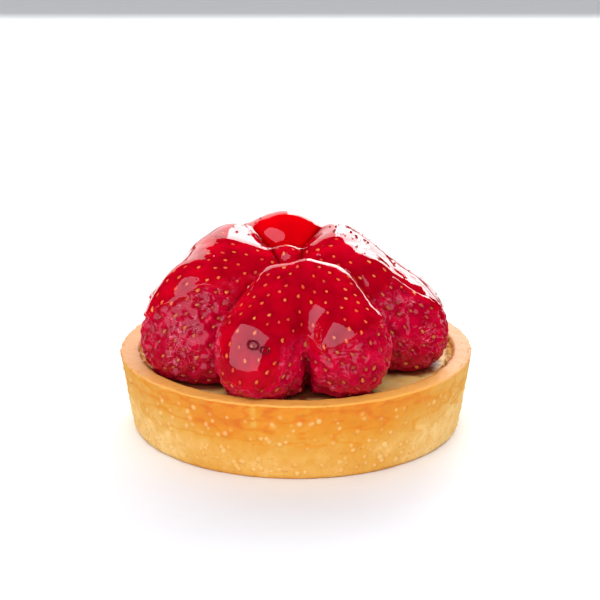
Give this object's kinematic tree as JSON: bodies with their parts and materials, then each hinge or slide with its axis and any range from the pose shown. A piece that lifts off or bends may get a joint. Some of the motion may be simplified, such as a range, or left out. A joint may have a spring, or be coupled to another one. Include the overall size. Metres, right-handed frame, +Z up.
{
  "type": "fruit tart",
  "caption": "Round individual shortcrust tart filled with custard and heaped with whole glazed strawberries that lean together to a peak.",
  "frame": {"origin": "centre of the flat base, on the surface that the tart stands on", "axes": "+Z up through the middle of the tart, -Y towards the front, +X to the right"},
  "size_m": [0.0835, 0.0836, 0.0472],
  "materials": {
    "crust": "golden baked shortcrust, dry and slightly rough",
    "filling": "baked custard with a soft sheen",
    "strawberry": "ripe strawberry under clear wet glaze"
  },
  "bodies": {
    "root": {"crust": "crust", "filling": "filling", "berry_front": "strawberry", "berry_left": "strawberry", "berry_right": "strawberry", "berry_back": "strawberry", "berry_centre": "strawberry"}
  },
  "joints": []
}
